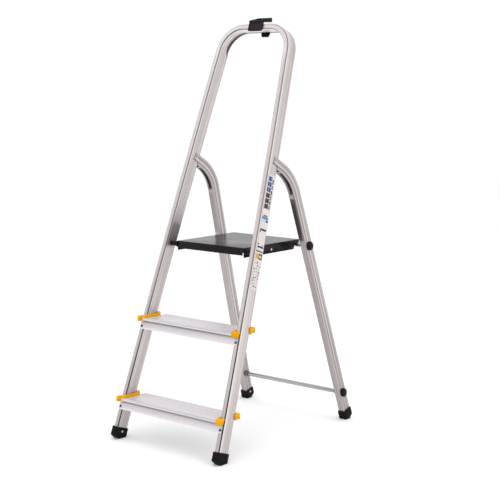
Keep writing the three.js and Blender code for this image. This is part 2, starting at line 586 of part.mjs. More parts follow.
// ---- Platform ----
function addPlatform() {
  const front = PLATFORM_FRONT_Y - HINGE.y;
  const rear = PLATFORM_REAR_Y - HINGE.y;
  const top = PLATFORM_TOP - HINGE.z;
  const half = PLATFORM_HALF_WIDTH;
  const rodY = UPPER_ROD.y - HINGE.y;
  const rodZ = UPPER_ROD.z - HINGE.z;
  const clear = ROD_RADIUS + 0.9;
  const lean = degrees(23.4); // the rod leaves downwards and this far forwards
  const pan = solid(box([-half, front, top - PLATFORM_SIDE_SKIRT], [half, rear, top]));
  const inset = half - SHEET;
  const hollow = box([-inset, front + SHEET, top - 60], [inset, rear - SHEET, top - SHEET]);
  const frontTrim = box([-inset, front - 5, top - 60], [inset, front + 5, top - PLATFORM_FRONT_SKIRT]);
  const rearTrim = box([-inset, rear - 5, top - 60], [inset, rear + 5, top - PLATFORM_RIM]);
  const slots = SIDES.map(([, sign]) => {
    const x = sign * (half - 4.5);
    return box([x - 2.4, front - 5, top - 60], [x + 2.4, front + 5, top - PLATFORM_FRONT_SKIRT + 9]);
  });
  // Room for the rod, and the way it leaves, through each side skirt.
  const round = [0, 30, 60, 90, 120, 150, 180].map((a) => degrees(a) - lean);
  const exit = [-Math.sin(lean), -Math.cos(lean)].map((value) => value * 45);
  const rodNotch = [
    ...round.map((a) => [rodY + clear * Math.cos(a), rodZ + clear * Math.sin(a)]),
    [rodY - clear * Math.cos(lean) + exit[0], rodZ + clear * Math.sin(lean) + exit[1]],
    [rodY + clear * Math.cos(lean) + exit[0], rodZ - clear * Math.sin(lean) + exit[1]],
  ];
  const prongTrim = box([-half - 5, rodY - 4, top - 60], [half + 5, rear + 5, rodZ - 6]);
  const sideHoles = SIDES.flatMap(([, sign]) => {
    const [low, high] = [sign * half - 6, sign * half + 6];
    return [
      rod('x', HINGE_PIN_RADIUS + CLIP_GAP, low, high, 0, 0, 20),
      rod('x', 2.3, low, high, STIFFENER.y, STIFFENER.z, 14),
    ];
  });
  const notch = prism(rodNotch, -half - 5, half + 5);
  const deck = cut(pan, [hollow, frontTrim, rearTrim, ...slots, notch, prongTrim, ...sideHoles]);
  addPart('platform_deck', deck, MATERIALS.blackSteel, platform);

  // Channel across the underside, riveted to the side skirts.
  const under = top - SHEET - CLIP_GAP;
  const inside = half - SHEET - CLIP_GAP;
  const { y: midY, z: midZ } = STIFFENER;
  const block = solid(box([-inside, midY - 20, midZ - 10], [inside, midY + 20, under]));
  const gutter = box([-inside + SHEET, midY - 18, midZ - 30], [inside - SHEET, midY + 18, under - 1.8]);
  const rivetHoles = SIDES.map(([, sign]) =>
    rod('x', 2.3, sign * inside - 6, sign * inside + 6, midY, midZ, 14));
  const stiffener = cut(block, [gutter, ...rivetHoles]);
  addPart('platform_stiffener', stiffener, MATERIALS.blackSteel, platform);

  for (const [side, sign] of SIDES) {
    const mirror = sign > 0 ? 0 : Math.PI;
    const head = turned([[0, -5.2], [2, -5.2], [2, 0], [4, 0], [4, 0.6], [2.6, 1.6], [0, 1.9]], 16)
      .rotateY(Math.PI / 2).translate(half + 0.2, 0, 0).rotateZ(mirror)
      .translate(0, STIFFENER.y, STIFFENER.z);
    addPart(`platform_side_rivet_${side}`, head, MATERIALS.rivet, platform);
  }
  return { half, top, rodY, rodZ, lean };
}

const STIFFENER = { y: 128, z: -7.4 };
const deckFacts = addPlatform();

for (const [side, sign] of SIDES) {
  // Hinge bush between the platform's side and the stile, turning on a pin fixed in the stile.
  const pinV = slopeDistance(HINGE.y, HINGE.z);
  const pinDepth = (HINGE.y - frontPlaneY(HINGE.z)) * Math.sin(FRONT_LEAN);
  const innerFace = halfWidth(pinV) - STILE_WIDTH;
  const mirror = sign > 0 ? 0 : Math.PI;
  const near = PLATFORM_HALF_WIDTH + CLIP_GAP;
  const bushEnd = innerFace - near - 1.6;
  const bush = turned([[3.7, 0], [11, 0], [11, 3], [8, 4.5], [8, bushEnd], [3.7, bushEnd], [3.7, 0]], 28)
    .rotateY(Math.PI / 2).translate(near, 0, 0).rotateZ(mirror);
  addPart(`platform_hinge_bush_${side}`, bush, MATERIALS.blackPlastic, platform);

  const [pinFrom, pinTo] = [PLATFORM_HALF_WIDTH - 6, innerFace + 11];
  const pin = turned([
    [0, pinFrom], [HINGE_PIN_RADIUS, pinFrom], [HINGE_PIN_RADIUS, pinTo], [0, pinTo],
  ], 20).rotateY(Math.PI / 2).rotateZ(mirror).translate(0, HINGE.y, HINGE.z);
  addPart(`platform_hinge_pin_${side}`, toGroup(pin, frontPlane), MATERIALS.rivet, frontPlane);
  const wallSpan = [sign * innerFace - 3, sign * innerFace + 3];
  frontFrameCuts.push(rod('x', HINGE_PIN_RADIUS + CLIP_GAP, ...wallSpan, pinV, -pinDepth, 20));

  // Saddle under the deck that sits over the upper rod.
  const { half, top, rodY, rodZ, lean } = deckFacts;
  const [saddleFrom, saddleTo] = [half - 26, half - SHEET - CLIP_GAP];
  const [low, high] = sign > 0 ? [saddleFrom, saddleTo] : [-saddleTo, -saddleFrom];
  const under = top - SHEET - CLIP_GAP;
  const clear = ROD_RADIUS + 0.6;
  const block = solid(box([low, rodY - 14, rodZ - 4], [high, rodY + 12.2, under]));
  const exit = [-Math.sin(lean), -Math.cos(lean)].map((value) => value * 40);
  const mouth = [
    ...[0, 30, 60, 90, 120, 150, 180].map((a) => degrees(a) - lean)
      .map((a) => [rodY + clear * Math.cos(a), rodZ + clear * Math.sin(a)]),
    [rodY - clear * Math.cos(lean) + exit[0] - 3, rodZ + clear * Math.sin(lean) + exit[1]],
    [rodY + clear * Math.cos(lean) + exit[0], rodZ - clear * Math.sin(lean) + exit[1]],
  ];
  const saddle = cut(block, [prism(mouth, low - 2, high + 2)]);
  addPart(`platform_rod_saddle_${side}`, saddle, MATERIALS.blackPlastic, platform);
}

// ---- Tool clip on the handrail ----
const CLIP = {
  centre: 1,
  half: 28.5,
  bottom: 1353, // along the front frame
  top: 1387,
  plate: 4,
  ledgeRear: 150,
  rearCentre: 5.5,
  rearHalf: 27.5,
  catchCentre: 7.5,
};

function addToolClip() {
  const { centre, half, bottom, top, plate } = CLIP;
  const face = new THREE.Shape();
  const corner = 5;
  face.moveTo(-half, bottom + corner);
  face.absarc(-half + corner, bottom + corner, corner, Math.PI, 1.5 * Math.PI);
  face.absarc(half - corner, bottom + corner, corner, 1.5 * Math.PI, 2 * Math.PI);
  face.lineTo(half, top);
  face.lineTo(-half, top);
  const settings = { depth: plate, bevelEnabled: false, curveSegments: 4 };
  const front = new THREE.ExtrudeGeometry(face, settings).translate(centre, 0, CLIP_GAP);
  const panelDepth = CLIP_GAP + plate - 0.8;
  const panel = box([centre - half + 4, bottom + 5, panelDepth], [centre + half - 4, top - 9, 20]);
  // Open tray that rises and narrows towards the back.
  const ledgeFront = frontPlaneY(1306) - 6;
  const outline = (inset) => [
    [centre - half + inset, ledgeFront + inset], [centre + half - inset, ledgeFront + inset],
    [CLIP.rearCentre + CLIP.rearHalf - inset, CLIP.ledgeRear - inset],
    [CLIP.rearCentre - CLIP.rearHalf + inset, CLIP.ledgeRear - inset],
  ];
  const slab = (points, low, high) => {
    const shape = new THREE.Shape(points.map((p) => new THREE.Vector2(...p)));
    const layer = new THREE.ExtrudeGeometry(shape, { depth: high - low, bevelEnabled: false, steps: 1 });
    return layer.translate(0, 0, low);
  };
  const rise = Math.atan2(9, CLIP.ledgeRear - ledgeFront);
  const sky = new THREE.BoxGeometry(120, 120, 40).translate(0, 40, 20).rotateX(rise);
  sky.translate(0, ledgeFront, 1310.5);
  const tray = cut(solid(slab(outline(0), 1305.5, 1325)), [slab(outline(2.4), 1308.5, 1340), sky]);
  const barLow = topLine - STILE_WIDTH - CLIP_GAP;
  const bar = box([-80, barLow, -60], [80, topLine + CLIP_GAP, CLIP_GAP]);
  const screwAt = [CLIP.rearCentre, topLine - STILE_WIDTH / 2];
  const hole = rod('z', 2.7, -60, CLIP_GAP + 2.6, ...screwAt, 14);
  const clip = solid(toWorld(front, frontPlane)).add(tray);
  const clipCuts = [bar, hole, panel].map((cutter) => toWorld(cutter, frontPlane));
  addPart('tool_clip', cut(clip, clipCuts), MATERIALS.blackPlastic, ladder);

  // Catch plate behind the bar, held by a screw through it.
  const back = -STILE_DEPTH - CLIP_GAP;
  const points = [[-17, 1372], [-17, 1361], [-12.5, 1350.5], [12.5, 1350.5], [17, 1361], [17, 1372]];
  const plateShape = new THREE.Shape(points.map(([x, y]) => new THREE.Vector2(x + CLIP.catchCentre, y)));
  const catchPlate = new THREE.ExtrudeGeometry(plateShape, { depth: 4, bevelEnabled: false, steps: 1 });
  catchPlate.translate(0, 0, back - 4);
  const screwHole = rod('z', 2.7, back - 8, back + 4, ...screwAt, 14);
  addPart('tool_clip_catch', cut(solid(catchPlate), [screwHole]), MATERIALS.blackPlastic, frontPlane);
  const screw = turned([[0, 0], [4.4, 0], [4.4, 1.4], [3, 2.4], [2.3, 2.4], [2.3, 49], [0, 49]], 16)
    .translate(...screwAt, back - 4 - 0.3 - 2.4);
  addPart('tool_clip_screw', screw, MATERIALS.rivet, frontPlane);
  frontFrameCuts.push(rod('z', 2.7, -60, 10, ...screwAt, 14));
}
addToolClip();

// ---- Label on the right stile's outer face ----
const LABEL = { from: 536, to: 893, near: 7, far: 40, thick: 0.4 };
const labelStations = Array.from({ length: 5 }, (_, i) => {
  const v = LABEL.from + ((LABEL.to - LABEL.from) * i) / 4;
  return { point: [halfWidth(v) - STILE_WIDTH / 2, v], direction: [-inwardSlope(v), 1] };
});
const labelFace = -STILE_WIDTH / 2 - CLIP_GAP;
addPart('label_strip', sweep(labelStations, [
  [LABEL.near, labelFace - LABEL.thick], [LABEL.far, labelFace - LABEL.thick], [LABEL.far, labelFace],
  [LABEL.near, labelFace],
]), MATERIALS.label, frontPlane);

// ---- Front frame ----
const frame = solid(sweep(
  frontStations(),
  stileSection(),
  [inner(STILE_DEPTH, STILE_WIDTH, TUBE_WALL)],
));
addPart('front_frame', cut(frame, frontFrameCuts), MATERIALS.aluminium, frontPlane);

export default ladder;
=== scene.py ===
"""Step ladder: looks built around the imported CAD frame. Lengths are in millimetres until a mesh is made."""
import json
import math

import bmesh
import bpy
from mathutils import Matrix, Vector


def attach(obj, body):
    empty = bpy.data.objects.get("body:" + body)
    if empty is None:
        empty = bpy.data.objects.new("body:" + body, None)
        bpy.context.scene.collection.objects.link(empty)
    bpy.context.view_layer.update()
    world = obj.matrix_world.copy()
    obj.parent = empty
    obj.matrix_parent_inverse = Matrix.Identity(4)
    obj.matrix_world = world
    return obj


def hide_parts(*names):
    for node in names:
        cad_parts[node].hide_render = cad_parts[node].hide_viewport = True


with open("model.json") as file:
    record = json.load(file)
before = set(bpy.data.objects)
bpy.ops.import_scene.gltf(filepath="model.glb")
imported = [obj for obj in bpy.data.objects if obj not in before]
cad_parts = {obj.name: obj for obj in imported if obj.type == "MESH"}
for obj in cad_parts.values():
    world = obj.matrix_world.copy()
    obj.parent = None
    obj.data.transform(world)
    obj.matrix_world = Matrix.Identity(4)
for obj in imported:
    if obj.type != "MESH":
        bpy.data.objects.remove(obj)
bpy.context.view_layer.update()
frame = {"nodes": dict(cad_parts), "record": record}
NODES = frame["nodes"]
BODY_OF = {n: b for b, ns in frame["record"]["behaviour"]["bodies"].items() for n in ns}
MM = 0.001
SIDES = (("left", -1), ("right", 1))

# ---- Dimensions, as in the CAD ----
RAIL_HEIGHT = 1300
FRONT_LEAN = math.radians(70.635)
FRONT_TOE_Y = -345.2
STILE_W, STILE_D = 17.6, 43.0
HALF_FOOT, TAPER, BOW = 221.5, 0.0433, 14.7e-6
RAIL_BEND = 92.0
TUBE_START = 24.0
REAR_LEAN = math.radians(73.1)
REAR_TOE_Y = 310.1
LEG_W, LEG_D = 21.6, 33.4
REAR_HALF_FOOT = 224.4
REAR_TAPER = math.atan(0.0579)
LEG_BEND = 143.0
FORK_RISE = math.radians(30)
PIVOT_DEPTH, PIVOT_HEIGHT, FORK_TIP = 31.0, 870.9, 10.5
FOLD = math.radians(37)
LEG_START = 7.0
FORK_STEP = 9.0
CAP_HEAD = 6.6  # thickness of a rod cap's head
CAP_SWELL, CAP_SPREAD = 2.2, 1.05  # how much fuller and wider the head is here than in the CAD
TREADS = {"lower": 129.0, "upper": 375.4}
TREAD_NOSE, TREAD_DEPTH, TREAD_SKIRT, TREAD_LIP = 12.0, 96.1, 35.4, 22.0
TREAD_END, NOSE_END = 2.0, 8.0
RIVET_DROP, RIVET_HOLE = 27.5, 2.4
FORK_CLEARANCE = 0.8
LABEL_FROM, LABEL_TO = 536.0, 893.0
STILE_DENT, LEG_DENT = 2.6, 6.0  # how deep the tubes are creased in their bends, here only
WALL = 1.5  # of the aluminium tubes
RADIUS = 1.0  # of the tubes' rounded corners

SIN, COS = math.sin(FRONT_LEAN), math.cos(FRONT_LEAN)
UP_FRONT = Vector((0, COS, SIN))
BACK_FRONT = Vector((0, SIN, -COS))


def front(x, v, depth):
    """A point of the front frame: across, up its slope, and behind its front plane."""
    return Vector((x, FRONT_TOE_Y, 0)) + UP_FRONT * v + BACK_FRONT * depth


def on_front(points, x, v, angle):
    """Points (across, up, depth) turned in the front frame's plane and put round x and v."""
    cos, sin = math.cos(angle), math.sin(angle)
    return [front(x + p.x * cos - p.y * sin, v + p.x * sin + p.y * cos, p.z) for p in points]


def half_width(v):
    """From the middle to the outside of a stile, at v up the front frame's slope."""
    z = v * SIN
    return HALF_FOOT - TAPER * z - BOW * z * z


def inward_slope(v):
    """How fast a stile leans inwards at v."""
    return (TAPER + 2 * BOW * v * SIN) * SIN


def front_y(z):
    """Where the front frame's front plane is at height z."""
    return FRONT_TOE_Y + z / math.tan(FRONT_LEAN)


PIVOT = (front_y(PIVOT_HEIGHT) + PIVOT_DEPTH / SIN, PIVOT_HEIGHT)  # y and z of the rear legs' pivot
PIVOT_V = (PIVOT[0] - FRONT_TOE_Y) * COS + PIVOT[1] * SIN  # the same, up the front frame's slope


# ---- Material nodes ----
BUMP_DISTANCE = 0.2 * MM


class Nodes:
    """A small builder for procedural materials."""

    def __init__(self, name):
        self.mat = bpy.data.materials.new(name)
        self.mat.use_nodes = True
        self.tree = self.mat.node_tree
        self.bsdf = self.tree.nodes["Principled BSDF"]

    def add(self, kind, **settings):
        node = self.tree.nodes.new(kind)
        for key, value in settings.items():
            setattr(node, key, value)
        return node

    def link(self, a, b):
        self.tree.links.new(a, b)

    def coords(self, scale=(1, 1, 1), space="Object"):
        where = self.add("ShaderNodeTexCoord")
        mapping = self.add("ShaderNodeMapping")
        mapping.inputs["Scale"].default_value = scale
        self.link(where.outputs[space], mapping.inputs["Vector"])
        return mapping.outputs["Vector"]

    def noise(self, vector, scale, detail=3.0, roughness=0.5):
        node = self.add("ShaderNodeTexNoise")
        node.inputs["Scale"].default_value = scale
        node.inputs["Detail"].default_value = detail
        node.inputs["Roughness"].default_value = roughness
        self.link(vector, node.inputs["Vector"])
        return node.outputs["Fac"]

    def ramp(self, fac, stops):
        node = self.add("ShaderNodeValToRGB")
        elements = node.color_ramp.elements
        for element, (pos, col) in zip(elements, (stops[0], stops[-1])):
            element.position, element.color = pos, (*col, 1)
        for pos, col in stops[1:-1]:
            elements.new(pos).color = (*col, 1)
        self.link(fac, node.inputs["Fac"])
        return node.outputs["Color"]

    def remap(self, fac, low, high, source=(0.0, 1.0)):
        node = self.add("ShaderNodeMapRange")
        node.inputs["From Min"].default_value, node.inputs["From Max"].default_value = source
        node.inputs["To Min"].default_value, node.inputs["To Max"].default_value = low, high
        self.link(fac, node.inputs["Value"])
        return node.outputs["Result"]

    def mix(self, fac, a, b):
        node = self.add("ShaderNodeMix", data_type="RGBA")
        sockets = [s for s in node.inputs if s.enabled]
        for socket, value in zip(sockets, (fac, a, b)):
            if isinstance(value, bpy.types.NodeSocket):
                self.link(value, socket)
            elif isinstance(value, (tuple, list)):
                socket.default_value = (*value, 1)
            else:
                socket.default_value = value
        return [s for s in node.outputs if s.enabled][0]

    def attribute(self, name):
        return self.add("ShaderNodeAttribute", attribute_name=name).outputs["Fac"]

    def bump(self, height, strength):
        node = self.add("ShaderNodeBump")
        node.inputs["Strength"].default_value = strength
        node.inputs["Distance"].default_value = BUMP_DISTANCE
        self.link(height, node.inputs["Height"])
        self.link(node.outputs["Normal"], self.bsdf.inputs["Normal"])

    def set(self, **sockets):
        for key, value in sockets.items():
            socket = self.bsdf.inputs[key.replace("_", " ")]
            if isinstance(value, bpy.types.NodeSocket):
                self.link(value, socket)
            elif isinstance(value, tuple):
                socket.default_value = (*value, 1)
            else:
                socket.default_value = value
        return self.mat


def srgb(*levels):
    """Colour from 0-255 display values to the linear ones shaders use."""
    shares = [level / 255 for level in levels]
    return tuple(c / 12.92 if c <= 0.04045 else ((c + 0.055) / 1.055) ** 2.4 for c in shares)


def scaled(colour, factor):
    return tuple(min(1.0, c * factor) for c in colour)


# Painted shade and painted highlight colours that the shade attribute mixes in, and the colour of the metal's
# light streaks.
SHADOW, GLARE, STREAK = srgb(52, 46, 45), srgb(250, 247, 246), srgb(238, 233, 233)


def aluminium(name, light, dark, rough, metal):
    """Extruded aluminium: fine and broad streaks along the length (UV v) and faint smudges. The shade
    attribute paints shade where it is positive and a painted highlight where it is negative."""
    n = Nodes(name)
    streak = n.noise(n.coords((700, 1.2, 1), "UV"), 1.0, 4.0, 0.6)
    smudge = n.noise(n.coords(), 14.0, 4.0, 0.6)
    base = n.ramp(streak, [(0.36, dark), (0.64, light)])
    base = n.mix(n.remap(smudge, 0.0, 0.35, (0.45, 0.75)), base, dark)
    band = n.noise(n.coords((150, 0.9, 1), "UV"), 1.0, 2.0, 0.5)
    base = n.mix(n.remap(band, 0.0, 0.32, (0.46, 0.66)), base, scaled(dark, 0.72))
    base = n.mix(n.remap(band, 0.3, 0.0, (0.34, 0.5)), base, STREAK)
    base = n.mix(n.attribute("shade"), base, SHADOW)
    base = n.mix(n.remap(n.attribute("shade"), 1.0, 0.0, (-1.0, 0.0)), base, GLARE)
    n.bump(streak, 0.12)
    return n.set(Base_Color=base, Roughness=n.remap(streak, rough - 0.06, rough + 0.08), Metallic=metal)


def plastic(name, colour, shade, rough, bump=0.15, specular=0.12):
    """Moulded plastic: slight colour drift, fine spark texture, scuffs that change the gloss. The shade
    attribute darkens it with painted shade."""
    n = Nodes(name)
    drift = n.noise(n.coords(), 22.0, 3.0)
    grain = n.noise(n.coords(), 900.0, 2.0)
    scuff = n.noise(n.coords((1, 1, 3)), 60.0, 5.0, 0.7)
    base = n.mix(n.remap(drift, 0.0, 0.6, (0.35, 0.7)), colour, shade)
    base = n.mix(n.attribute("shade"), base, scaled(shade, 0.35))
    n.bump(grain, bump)
    gloss = n.remap(scuff, rough - 0.06, rough + 0.12, (0.35, 0.7))
    return n.set(Base_Color=base, Roughness=gloss, Specular_IOR_Level=specular)


def rubber(name):
    """Black rubber, dulled by dust."""
    n = Nodes(name)
    dust = n.noise(n.coords(), 45.0, 5.0, 0.65)
    grain = n.noise(n.coords(), 1400.0, 2.0)
    base = n.ramp(dust, [(0.45, srgb(11, 10, 11)), (0.75, srgb(24, 23, 23))])
    n.bump(grain, 0.25)
    return n.set(Base_Color=base, Roughness=n.remap(dust, 0.5, 0.75, (0.3, 0.7)), Specular_IOR_Level=0.1)


def polished(name, colour, rough):
    """Bare metal with fine lines along X. The shade attribute darkens it."""
    n = Nodes(name)
    lines = n.noise(n.coords((2, 600, 600)), 1.0, 2.0)
    base = n.ramp(lines, [(0.3, scaled(colour, 0.86)), (0.7, colour)])
    base = n.mix(n.attribute("shade"), base, SHADOW)
    return n.set(Base_Color=base, Roughness=n.remap(lines, rough * 0.7, rough * 1.4), Metallic=1.0)


def enamel(name):
    """Semi-gloss black paint with faint orange peel and dust on top."""
    n = Nodes(name)
    peel = n.noise(n.coords(), 420.0, 2.0)
    dust = n.noise(n.coords(), 9.0, 4.0, 0.6)
    base = n.ramp(dust, [(0.35, srgb(11, 9, 13)), (0.75, srgb(21, 18, 25))])
    n.bump(peel, 0.05)
    gloss = n.remap(dust, 0.17, 0.27, (0.3, 0.7))
    return n.set(Base_Color=base, Roughness=gloss, Specular_IOR_Level=0.15, Specular_Tint=(0.97, 0.9, 1.0))


MAT = {
    "aluminium": aluminium("aluminium_extruded", srgb(217, 209, 208), srgb(184, 174, 174), 0.3, 0.75),
    "tread_aluminium": aluminium("aluminium_tread", srgb(236, 232, 237), srgb(222, 216, 221), 0.4, 0.6),
    "black_steel": enamel("black_enamel"),
    "black_plastic": plastic("black_plastic", srgb(12, 12, 13), srgb(19, 18, 19), 0.42),
    "clip_plastic": plastic("clip_plastic", srgb(33, 30, 36), srgb(41, 38, 44), 0.42),
    "yellow_plastic": plastic("yellow_plastic", srgb(240, 172, 2), srgb(226, 152, 1), 0.5, 0.08, 0.08),
    "rubber": rubber("black_rubber"),
    "chrome": polished("chrome", srgb(198, 198, 203), 0.12),
    "rod_steel": polished("rod_steel", srgb(178, 179, 183), 0.24),
    "rivet": polished("rivet_steel", srgb(205, 203, 200), 0.3),
    "dark_rivet": polished("dark_rivet_steel", srgb(92, 88, 86), 0.35),
}


# ---- Mesh helpers ----
SHARP, SHARP_ROUNDED = 32, 40  # degrees between two faces, above which their edge is drawn sharp
ROUNDED_FROM = 28  # degrees between two faces of a CAD node, above which their edge is rounded over


def sharpen(obj, degrees=SHARP):
    obj.data.set_sharp_from_angle(angle=math.radians(degrees))


def face_out(mesh):
    """Turns every face's front to the outside."""
    work = bmesh.new()
    work.from_mesh(mesh)
    bmesh.ops.recalc_face_normals(work, faces=work.faces)
    work.to_mesh(mesh)
    work.free()


def store_shade(mesh, values):
    attribute = mesh.attributes.new("shade", "FLOAT", "POINT")
    attribute.data.foreach_set("value", values)


def make(name, verts, faces, slot, body, stands_for=(), sharp=SHARP, uvs=None, shade=None):
    """A mesh piece from points in millimetres. It rides on a body and stands for CAD nodes."""
    mesh = bpy.data.meshes.new(name)
    mesh.from_pydata([Vector(v) * MM for v in verts], [], faces)
    mesh.validate()
    face_out(mesh)
    if uvs is not None:
        layer = mesh.uv_layers.new(name="UVMap")
        for loop in mesh.loops:
            layer.data[loop.index].uv = uvs[loop.vertex_index]
    if shade is not None:
        store_shade(mesh, shade)
    obj = bpy.data.objects.new(name, mesh)
    bpy.context.scene.collection.objects.link(obj)
    return dress(obj, slot, body, stands_for, sharp)


def dress(obj, slot, body, stands_for, sharp):
    """Gives a piece its material, its smooth faces and its place in the frame."""
    obj.data.materials.clear()
    obj.data.materials.append(MAT[slot])
    obj.data.shade_smooth()
    sharpen(obj, sharp)
    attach(obj, body)
    if stands_for:
        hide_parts(*stands_for)
    return obj


def lengths(outline):
    """The distance along an outline to each of its points."""
    total, out = 0.0, [0.0]
    for a, b in zip(outline, outline[1:]):
        total += math.dist(a[:2], b[:2])
        out.append(total)
    return out


def bridge(rings, close_ends=True):
    """Faces between rings of equal length, and over both ends."""
    size = len(rings[0])
    verts = [p for ring in rings for p in ring]
    faces = []
    for r in range(len(rings) - 1):
        a, b = r * size, (r + 1) * size
        faces += [(a + i, a + (i + 1) % size, b + (i + 1) % size, b + i) for i in range(size)]
    if close_ends:
        faces += [tuple(range(size))[::-1], tuple(range((len(rings) - 1) * size, len(rings) * size))]
    return verts, faces


def apply_modifiers(obj):
    depsgraph = bpy.context.evaluated_depsgraph_get()
    mesh = bpy.data.meshes.new_from_object(obj.evaluated_get(depsgraph))
    obj.modifiers.clear()
    obj.data = mesh


def boxed(low, high):
    """Corners and faces of a box between two corners."""
    xs, ys, zs = zip(low, high)
    verts = [Vector((x, y, z)) for x in xs for y in ys for z in zs]
    faces = [(0, 1, 3, 2), (4, 6, 7, 5), (0, 4, 5, 1), (2, 3, 7, 6), (0, 2, 6, 4), (1, 5, 7, 3)]
    return verts, faces


def cutter(verts, faces):
    """A solid to be taken away from a piece by carve."""
    mesh = bpy.data.meshes.new("cutter")
    mesh.from_pydata([v * MM for v in verts], [], faces)
    face_out(mesh)
    obj = bpy.data.objects.new("cutter", mesh)
    bpy.context.scene.collection.objects.link(obj)
    return obj


def carve(obj, cutters):
    """Takes each cutter away from obj, and then removes it."""
    for tool in cutters:
        modifier = obj.modifiers.new("cut", "BOOLEAN")
        modifier.operation, modifier.object, modifier.solver = "DIFFERENCE", tool, "MANIFOLD"
    apply_modifiers(obj)
    for tool in cutters:
        bpy.data.objects.remove(tool)


def merge_close(mesh, reach, flat=None):
    """Joins points within reach of each other. Then it joins faces that meet at less than the angle
    flat, or drops the slivers that are left when no angle is given."""
    work = bmesh.new()
    work.from_mesh(mesh)
    bmesh.ops.remove_doubles(work, verts=work.verts, dist=reach)
    if flat:
        bmesh.ops.dissolve_limit(work, angle_limit=flat, verts=work.verts, edges=work.edges)
    else:
        bmesh.ops.dissolve_degenerate(work, edges=work.edges, dist=reach)
    work.to_mesh(mesh)
    work.free()


def from_cad(node, slot, bevel, segments):
    """A copy of a CAD node with its edges rounded over."""
    mesh = NODES[node].data.copy()
    merge_close(mesh, 0.1 * MM, math.radians(1.5))
    obj = bpy.data.objects.new(node + "_shell", mesh)
    bpy.context.scene.collection.objects.link(obj)
    modifier = obj.modifiers.new("round", "BEVEL")
    modifier.width, modifier.segments = bevel * MM, segments
    modifier.limit_method, modifier.angle_limit = "ANGLE", math.radians(ROUNDED_FROM)
    modifier.use_clamp_overlap = True
    apply_modifiers(obj)
    merge_close(obj.data, 0.01 * MM)
    return dress(obj, slot, BODY_OF[node], (node,), SHARP_ROUNDED)


# ---- Extruded tubes ----
# Outlines are lists of (position, distance in from the face, darkness). The darkness is painted shade in
# ribs, steps, grooves and corners, and a painted highlight where negative.
RIB = ((-0.6, 0.0, 0.0), (-0.3, 0.4, 0.12), (0.3, 0.4, 0.12), (0.6, 0.0, 0.0))
CORNER_ANGLES = [math.radians(a) for a in (6, 32, 58, 84)]
CORNER = [(RADIUS * (1 - math.cos(a)), RADIUS * (1 - math.sin(a))) for a in CORNER_ANGLES]


def tube_section(depth, width, ribs, front_corner, wide):
    """(depth, side, darkness) round a tube, the darkness being painted shade and, where negative, a painted
    highlight. front_corner and wide run along one wide face, from the front, and fine ribs run down the
    narrow faces."""
    half = width / 2
    narrow = [(centre + off, deep, dark) for centre in ribs for off, deep, dark in RIB]
    upper = [(d, half - inset, dark) for d, inset, dark in front_corner + wide]
    upper += [(depth - b, half - a, 0.0) for b, a in CORNER[::-1]]
    points = [(deep, side, dark) for side, deep, dark in narrow] + upper
    points += [(depth - deep, -side, dark) for side, deep, dark in narrow]
    points += [(d, -side, dark) for d, side, dark in upper[::-1]]
    return points


def inner_section(section, depth, width):
    kd, kw = 1 - 2 * WALL / depth, 1 - 2 * WALL / width
    return [(depth / 2 + (d - depth / 2) * kd, w * kw, 0.0) for d, w, dark in section]


def tube(name, stations, section, depth, width, place, body, stands_for, dent, shading):
    """A hollow tube along stations ((x, y), (dx, dy), length). place(point, direction, depth, side) gives a
    point in space, dent(length, d, w) how far it is pushed (in depth, in side), and shading(length, d, w,
    marked) its painted shade, negative for a painted highlight."""
    inner = inner_section(section, depth, width)
    outer_rings, inner_rings, uvs, shade = [], [], [], []
    around = lengths(section)
    for point, direction, length in stations:
        for rings, outline in ((outer_rings, section), (inner_rings, inner)):
            ring = []
            for i, (d, w, marked) in enumerate(outline):
                push = dent(length, *section[i][:2])
                ring.append(place(point, direction, d + push[0], w + push[1]))
                if rings is outer_rings:
                    uvs.append((around[i] * MM, length * MM))
                    shade.append(shading(length, d, w, marked))
            rings.append(ring)
    size, count = len(section), len(stations)
    verts, faces = bridge(outer_rings, False)
    more, holes = bridge(inner_rings, False)
    shift = len(verts)
    faces += [tuple(shift + i for i in face)[::-1] for face in holes]
    for start in (0, (count - 1) * size):
        for i in range(size):
            j = (i + 1) % size
            faces.append((start + i, start + j, shift + start + j, shift + start + i))
    uvs += uvs
    shade += [0.0] * len(more)
    return make(name, verts + more, faces, "aluminium", body, stands_for, uvs=uvs, shade=shade)


def arc(centre, radius, start, end, count):
    """(point, direction) stations along an arc."""
    out = []
    for i in range(count + 1):
        a = start + (end - start) * i / count
        point = (centre[0] + radius * math.cos(a), centre[1] + radius * math.sin(a))
        out.append((point, (-math.sin(a), math.cos(a))))
    return out


def measured(stations):
    """Adds the distance along the path to each station."""
    total, out = 0.0, []
    for i, (point, direction) in enumerate(stations):
        total += math.dist(point, stations[i - 1][0]) if i else 0.0
        scale = math.hypot(*direction)
        out.append((point, (direction[0] / scale, direction[1] / scale), total))
    return out


def smoothstep(x, low, high):
    """0 below low, 1 above high, and a smooth rise between them."""
    t = min(1.0, max(0.0, (x - low) / (high - low)))
    return t * t * (3 - 2 * t)


# ---- Front frame ----
TOP_LINE = RAIL_HEIGHT / SIN
TURN = math.atan(inward_slope(TOP_LINE - RAIL_BEND))
BEND_START = TOP_LINE - RAIL_BEND * (1 - math.sin(TURN))
BEND_CENTRE = (half_width(BEND_START) - RAIL_BEND * math.cos(TURN), TOP_LINE - RAIL_BEND)
# Up the stiles, where the painted dark reflection of the platform on their inner faces fades in and out.
REFLECTION_IN, REFLECTION_OUT = (650.0, 656.0), (712.0, 718.0)


def front_stations():
    """Stations from the right foot over the top to the left one, closer where the shade changes."""
    steps = 26
    heights = [TUBE_START + (BEND_START - TUBE_START) * i / steps for i in range(steps)]
    heights += [BEND_START - back for back in (4, 11, 18, 25, 32)]
    heights = sorted([*heights, *REFLECTION_IN, *REFLECTION_OUT])
    rising = [((half_width(v) - STILE_W / 2, v), (-inward_slope(v), 1)) for v in heights]
    right = rising + arc(BEND_CENTRE, RAIL_BEND - STILE_W / 2, TURN, math.pi / 2, 28)
    left = [((-x, y), (dx, -dy)) for (x, y), (dx, dy) in right]
    return measured(right + left[::-1])


